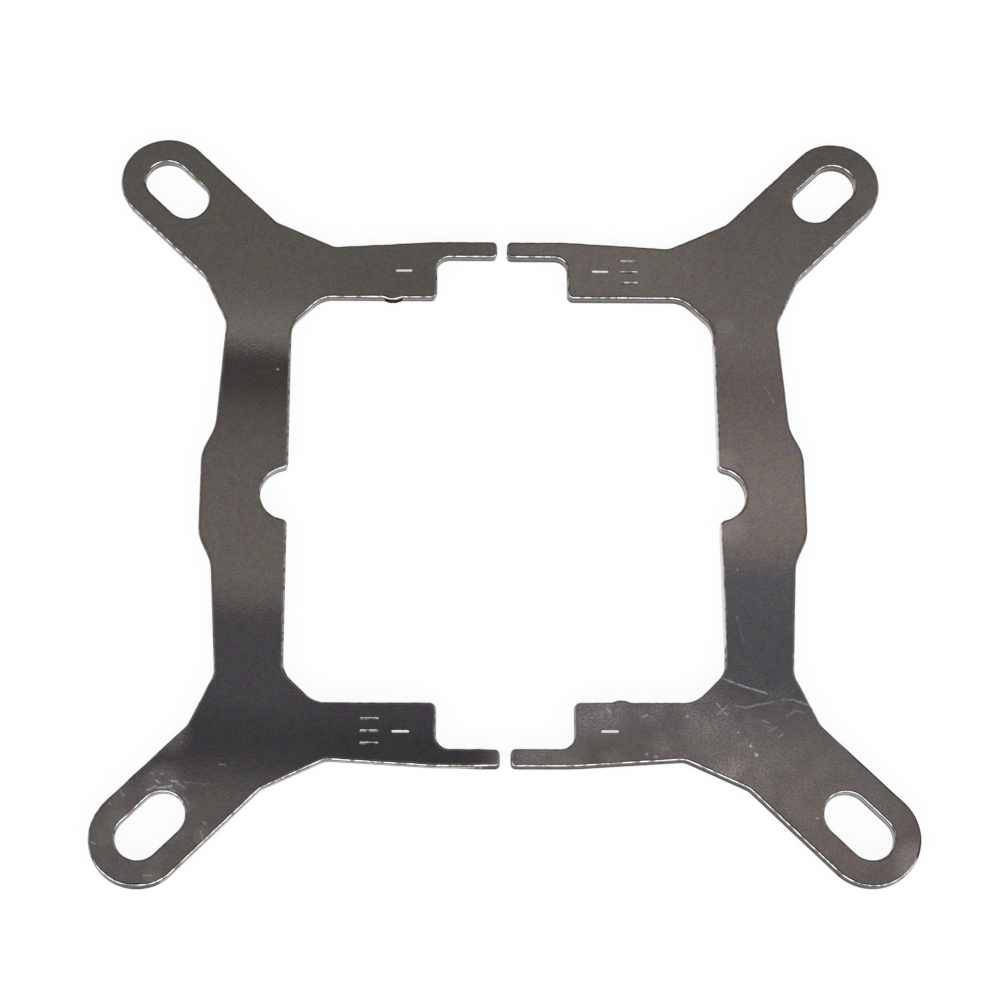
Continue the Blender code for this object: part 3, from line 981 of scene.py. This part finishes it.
RIGHT_PANELS = (
    (-46, 1.02, ROSY_LIGHT), (-27, 0.92, HALF_COOL_LIGHT), (-23.5, 0.62, COOL_LIGHT),
    (-20, 0.76, COOL_LIGHT), (-12, 1.00, COOL_LIGHT), (-9.3, 1.04, COOL_LIGHT),
    (-8, 1.25, ROSY_LIGHT), (-5.5, 1.46, ROSY_LIGHT), (-1, 1.70, ROSY_LIGHT),
    (3, 1.52, ROSY_LIGHT), (9, 1.24, ROSY_LIGHT), (14, 1.03, ROSY_LIGHT),
    (19, 1.26, PLAIN_LIGHT), (23, 1.14, PLAIN_LIGHT), (30, 1.02, PLAIN_LIGHT),
    (46, 0.78, PLAIN_LIGHT),
)
# The left plate's bands slant about its spine.
LEFT_SLANT = 0.08
LEFT_SPINE_X = -29.0
# How the light over the arms differs: (X from, to), (Y from, to), the gain where both are reached.
LEFT_ARM_TONE = ((-25.0, -16.0), (33.0, 25.0), 0.90)
RIGHT_ARM_TONE = ((28.0, 18.0), (19.0, 33.0), 1.22)
# How far the panels reach along X and Y, how fast they fade into the wide sky, and where the
# left ones fade into the right ones, in millimetres.
PANEL_REACH_X = 80.0
PANEL_REACH_Y = 50.0
PANEL_FADE = 8.0
PLATE_TO_PLATE = (-5.0, 5.0)

# Where a direction's mirror image lies on the plates, in millimetres: the camera's own place
# plus the slope of the direction times the camera's height.
above_mm = (camera.location.z - SHEET) / MM
shown_x, shown_y = (
    add(sky, "ShaderNodeMath", [
        add(sky, "ShaderNodeMath", [axes.outputs[axis], axes.outputs["Z"]], operation="DIVIDE"),
        above_mm, start / MM], operation="MULTIPLY_ADD")
    for axis, start in (("X", camera.location.x), ("Y", camera.location.y)))
slanted = add(sky, "ShaderNodeMath", [shown_x, LEFT_SLANT, shown_y], operation="MULTIPLY_ADD")
slanted = add(sky, "ShaderNodeMath", [slanted, -LEFT_SLANT * LEFT_SPINE_X], operation="ADD")
print("camera above the plates:", round(above_mm, 1), "mm")

# %% [markdown]
# The panels are brighter or darker over the arms, which lie in another part of the studio. Then
# the left and right panels are joined, and the wide sky goes round them.

# %% Join the sky


def over_arm(tree, panels, across, along, gain):
    """The panels made brighter or darker over the arm of a plate."""
    reached = [add(tree, "ShaderNodeMapRange", [shown, *limits], interpolation_type="SMOOTHSTEP")
               for shown, limits in ((shown_x, across), (shown_y, along))]
    place = add(tree, "ShaderNodeMath", reached, operation="MULTIPLY")
    tone = add(tree, "ShaderNodeMapRange", [place, 0.0, 1.0, 1.0, gain])
    return add(tree, "ShaderNodeMix", {"Factor_Float": 1.0, "A_Color": panels, "B_Color": tone},
               data_type="RGBA", blend_type="MULTIPLY")


over_left = light_ramp(sky, slanted, -PANEL_REACH_Y, PANEL_REACH_Y, LEFT_PANELS)
over_left = over_arm(sky, over_left, *LEFT_ARM_TONE)
over_right = light_ramp(sky, shown_y, -PANEL_REACH_Y, PANEL_REACH_Y, RIGHT_PANELS)
over_right = over_arm(sky, over_right, *RIGHT_ARM_TONE)
rightward = add(sky, "ShaderNodeMapRange", [shown_x, *PLATE_TO_PLATE],
                interpolation_type="SMOOTHSTEP")
panels = add(sky, "ShaderNodeMix", {
    "Factor_Float": rightward, "A_Color": over_left, "B_Color": over_right}, data_type="RGBA")
masks = []
for shown, reach in ((shown_x, PANEL_REACH_X), (shown_y, PANEL_REACH_Y)):
    distance = add(sky, "ShaderNodeMath", [shown], operation="ABSOLUTE")
    masks.append(add(sky, "ShaderNodeMapRange", [distance, reach + PANEL_FADE, reach],
                     interpolation_type="SMOOTHSTEP"))
inside = add(sky, "ShaderNodeMath", masks, operation="MULTIPLY")
whole = add(sky, "ShaderNodeMix", {"Factor_Float": inside, "A_Color": wide, "B_Color": panels},
            data_type="RGBA")
feed(sky.nodes["Background"], {"Color": whole, "Strength": SKY_STRENGTH})
print("nodes in the sky:", len(sky.nodes))

# %% [markdown]
# The floor is a plain white sheet. It takes the plates' faint shadow as any matt paper does,
# and on top of that it shows as white paper to the camera and in the metal's walls.

# %% Floor
FLOOR_SIZE = 6.0
FLOOR_DROP = 0.02 * MM
PAPER_WHITE = "#FCFCFC"
GLOW_SHARE = 0.92


def white_paper():
    material = bpy.data.materials.new("white_paper")
    material.use_nodes = True
    tree = material.node_tree
    tree.nodes.remove(tree.nodes["Principled BSDF"])
    matt = add(tree, "ShaderNodeBsdfDiffuse", {"Color": linear(PAPER_WHITE)})
    glow = add(tree, "ShaderNodeEmission", {"Color": linear(PLAIN_LIGHT), "Strength": 1.0})
    rays = add(tree, "ShaderNodeLightPath")
    seen = rays.outputs["Is Camera Ray"]
    for name in ("Is Glossy Ray", "Is Transmission Ray"):
        seen = add(tree, "ShaderNodeMath", [seen, rays.outputs[name]], operation="MAXIMUM")
    share = add(tree, "ShaderNodeMath", [seen, GLOW_SHARE], operation="MULTIPLY")
    paper = add(tree, "ShaderNodeMixShader", [share, matt, glow])
    feed(tree.nodes["Material Output"], {"Surface": paper})
    return material


bpy.ops.mesh.primitive_plane_add(size=FLOOR_SIZE, location=(0, 0, cad_box[0].z - FLOOR_DROP))
floor = bpy.context.object
floor.name = "paper_floor"
floor.data.materials.append(white_paper())
print("floor:", FLOOR_SIZE, "m wide, of", floor.data.materials[0].name)
